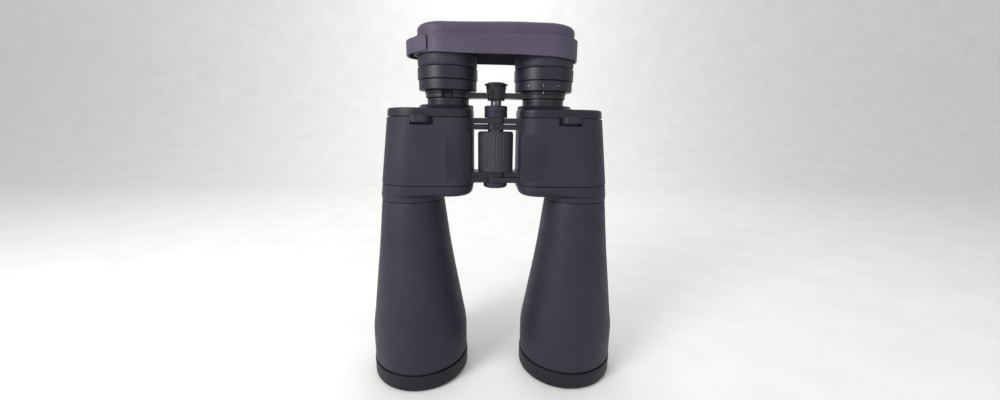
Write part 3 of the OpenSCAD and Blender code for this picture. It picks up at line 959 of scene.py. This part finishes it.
def rain_guard():
    node = "rain_guard"
    place = Place(node)
    rim_r = 24.15
    top_r = 21.55
    wall = 1.6
    rim_z = 258
    step_z = 271
    top_z = place.z1
    ceiling = top_z - 2.3
    spacing = 3
    slot_x = (-50.3, -47.8)
    crease_x = (-46.9, -45.2)
    half_length = 60
    droop = 1.5
    centre = Place("eyecup_rubber_left").centre
    profile = rounded([
        (0, ceiling), (top_r - wall, ceiling, 3), (top_r - wall, step_z - 1.2, 0.5),
        (rim_r - wall, step_z - wall, 0.9), (rim_r - wall, rim_z, 0.3), (rim_r, rim_z, 0.4),
        (rim_r, step_z, 0.55), (top_r + 0.1, step_z + 0.15, 0.35), (top_r, top_z, 3.6), (0, top_z)
    ])
    stations = []
    for before, after in zip(profile, profile[1:]):
        stations += straight(before, after, max(1, round(math.dist(before, after) / spacing)))
    stations.append(profile[-1])

    def slot(x, y, r, z):
        """The depth of the slot where the strap loop enters the wall, and of the crease beside it."""
        if y > centre[1] or r < rim_r - 0.7 or not rim_z + 1 < z < step_z - 0.6:
            return 0
        return 1.2 * pulse(x, *slot_x, 0.4) + 0.4 * pulse(x, *crease_x, 1)

    def soften(x, y, z):
        """The rubber's droop and waves; the rim hangs lower towards the right eyepiece."""
        along = x / half_length
        hang = pulse(z, rim_z - 20, rim_z + 8, 14)
        dz = -droop * along * hang
        dz += 0.3 * math.sin(2.1 * along + 0.8) + 0.18 * math.sin(5.3 * along + 0.4)
        bulge = 0.25 * math.sin(4.2 * along + 1.3) * hang
        return (x, y + math.copysign(bulge, y - centre[1]), z + dz)

    rings = []
    for r, z in stations:
        ring = []
        for x, y, z in stadium(centre[1], r, z):
            axis = max(-EYEPIECE_X, min(EYEPIECE_X, x))
            out = Vector((x - axis, y - centre[1]))
            if out.length > 0:
                out = out.normalized() * slot(x, y, r, z)
            ring.append(soften(x - out.x, y - out.y, z))
        rings.append(ring)
    add_piece("guard_shell", skin(rings, closed=False), node)
    strap_loop(centre, rim_r)
    socket_bore, socket_r = 15, 19.5
    socket_z = 261.2
    socket_top = ceiling + 0.4
    socket = rounded([
        (socket_bore, socket_top), (socket_bore, socket_z, 0.6), (socket_r, socket_z, 0.6),
        (socket_r, socket_top)
    ])
    add_piece("guard_socket", lathe(socket, centre), node, hides=False)


def strap_loop(centre, rim_r):
    """The band that leaves the guard's left end along a tangent and goes round a smaller arc."""
    half_t = 0.75
    half_h = 5
    mid_z = 265
    droop = 1.2
    loop_r = 20 - half_t
    big_r = rim_r + 0.05
    loop_x = Place("rain_guard").x0 + half_t + loop_r
    lean = math.degrees(math.acos((big_r - loop_r) / (centre[0] - loop_x)))
    big = arc(centre[0], centre[1], big_r, 180 + lean, 180 - lean, 1)
    bend_steps = 60
    line_steps = 9
    bend = arc(loop_x, centre[1], loop_r, 180 + lean, 180 - lean, bend_steps)
    end_x = bend[bend_steps // 2][0]
    line = straight(big[0], bend[0], line_steps)
    tail = [(x, 2 * centre[1] - y) for x, y in reversed(line)]
    path = []
    for x, y in line + bend + tail:
        out = max(0, (big[0][0] - x) / (big[0][0] - end_x))
        path.append((x, y, mid_z - droop * out))
    section = rounded([
        (-half_t, -half_h, 0.4), (half_t, -half_h, 0.4), (half_t, half_h, 0.4), (-half_t, half_h, 0.4)
    ])
    add_piece("guard_strap_loop", sweep(path, section), "rain_guard", hides=False)


# The scene


def dress_cad_nodes():
    """Materials for the CAD nodes that stay."""
    for name, node in frame["nodes"].items():
        material = MATERIALS[SLOT_OF[name]]
        if not node.material_slots:
            node.data.materials.append(material)
        for slot in node.material_slots:
            slot.material = material


def add_area_light(name, place, target, size, power):
    light = bpy.data.lights.new(name, "AREA")
    light.shape = "DISK"
    light.size = size
    light.energy = power
    lamp = bpy.data.objects.new(name, light)
    lamp.location = place
    lamp.rotation_euler = (Vector(target) - Vector(place)).to_track_quat("-Z", "Y").to_euler()
    bpy.context.scene.collection.objects.link(lamp)


def add_stage():
    """A pale floor that curves up into a backdrop."""
    width = 3
    floor_front = -1.6
    bend_y = 0.9
    bend_r = 0.5
    bend_steps = 16
    backdrop_z = 2.2
    line = [(floor_front, 0)]
    for k in range(bend_steps + 1):
        angle = math.pi / 2 * k / bend_steps
        line.append((bend_y + bend_r * math.sin(angle), bend_r * (1 - math.cos(angle))))
    line.append((bend_y + bend_r, backdrop_z))
    points = [(x, y, z) for y, z in line for x in (-width, width)]
    faces = [(2 * k, 2 * k + 1, 2 * k + 3, 2 * k + 2) for k in range(len(line) - 1)]
    mesh = bpy.data.meshes.new("stage")
    mesh.from_pydata(points, [], faces)
    mesh.shade_smooth()
    material, tree, shader = new_material("stage_paper", Roughness=0.85, Specular_IOR_Level=0.2)
    paper = noise(tree, 60, detail=3)
    tree.links.new(shades(tree, paper, (0.84, 0.83, 0.815), (0.88, 0.87, 0.855)), shader.inputs["Base Color"])
    mesh.materials.append(material)
    stage = bpy.data.objects.new("stage", mesh)
    bpy.context.scene.collection.objects.link(stage)


def add_lights():
    world = bpy.data.worlds.new("studio")
    world.use_nodes = True
    background = world.node_tree.nodes["Background"]
    background.inputs["Color"].default_value = (0.97, 0.98, 1.0, 1)
    background.inputs["Strength"].default_value = 0.62
    bpy.context.scene.world = world
    middle = (0, 0, 0.16)
    add_area_light("key", (-0.75, -0.65, 0.6), middle, 0.5, 9)
    add_area_light("fill", (0.5, -0.8, 0.5), middle, 0.9, 1.2)
    add_area_light("top", (0, 0.2, 1.1), middle, 0.9, 2.5)
    add_area_light("back", (0, 0.7, 1), (0, 1.3, 0.35), 0.8, 3)


def add_camera():
    data = bpy.data.cameras.new("camera")
    data.lens = LENS
    camera = bpy.data.objects.new("camera", data)
    camera.location = Vector(CAMERA_AT) * MM
    turn = Matrix.Rotation(-math.radians(CAMERA_YAW), 3, "Z")
    turn @= Matrix.Rotation(math.pi / 2 - math.radians(CAMERA_PITCH), 3, "X")
    turn @= Matrix.Rotation(math.radians(CAMERA_ROLL), 3, "Z")
    camera.rotation_euler = turn.to_euler()
    bpy.context.scene.collection.objects.link(camera)
    bpy.context.scene.camera = camera


dress_cad_nodes()
for side in SIDES:
    objective_cap(side)
    barrel_armour(side)
    objective_barrel(side)
    lower_cover(side)
    housing_armour(side)
    hinge_webs(side)
    strap_lug(side)
    cover_plate(side)
    eyepiece_neck(side)
    arm_collar(side)
    ocular_ring(side)
    eyecup_sleeve(side)
    eyecup_rubber(side)
hinge_collar()
wheel_grip()
bridge_hub()
eyepiece_marks()
rain_guard()
add_stage()
add_lights()
add_camera()
bpy.context.scene.view_settings.view_transform = "Standard"
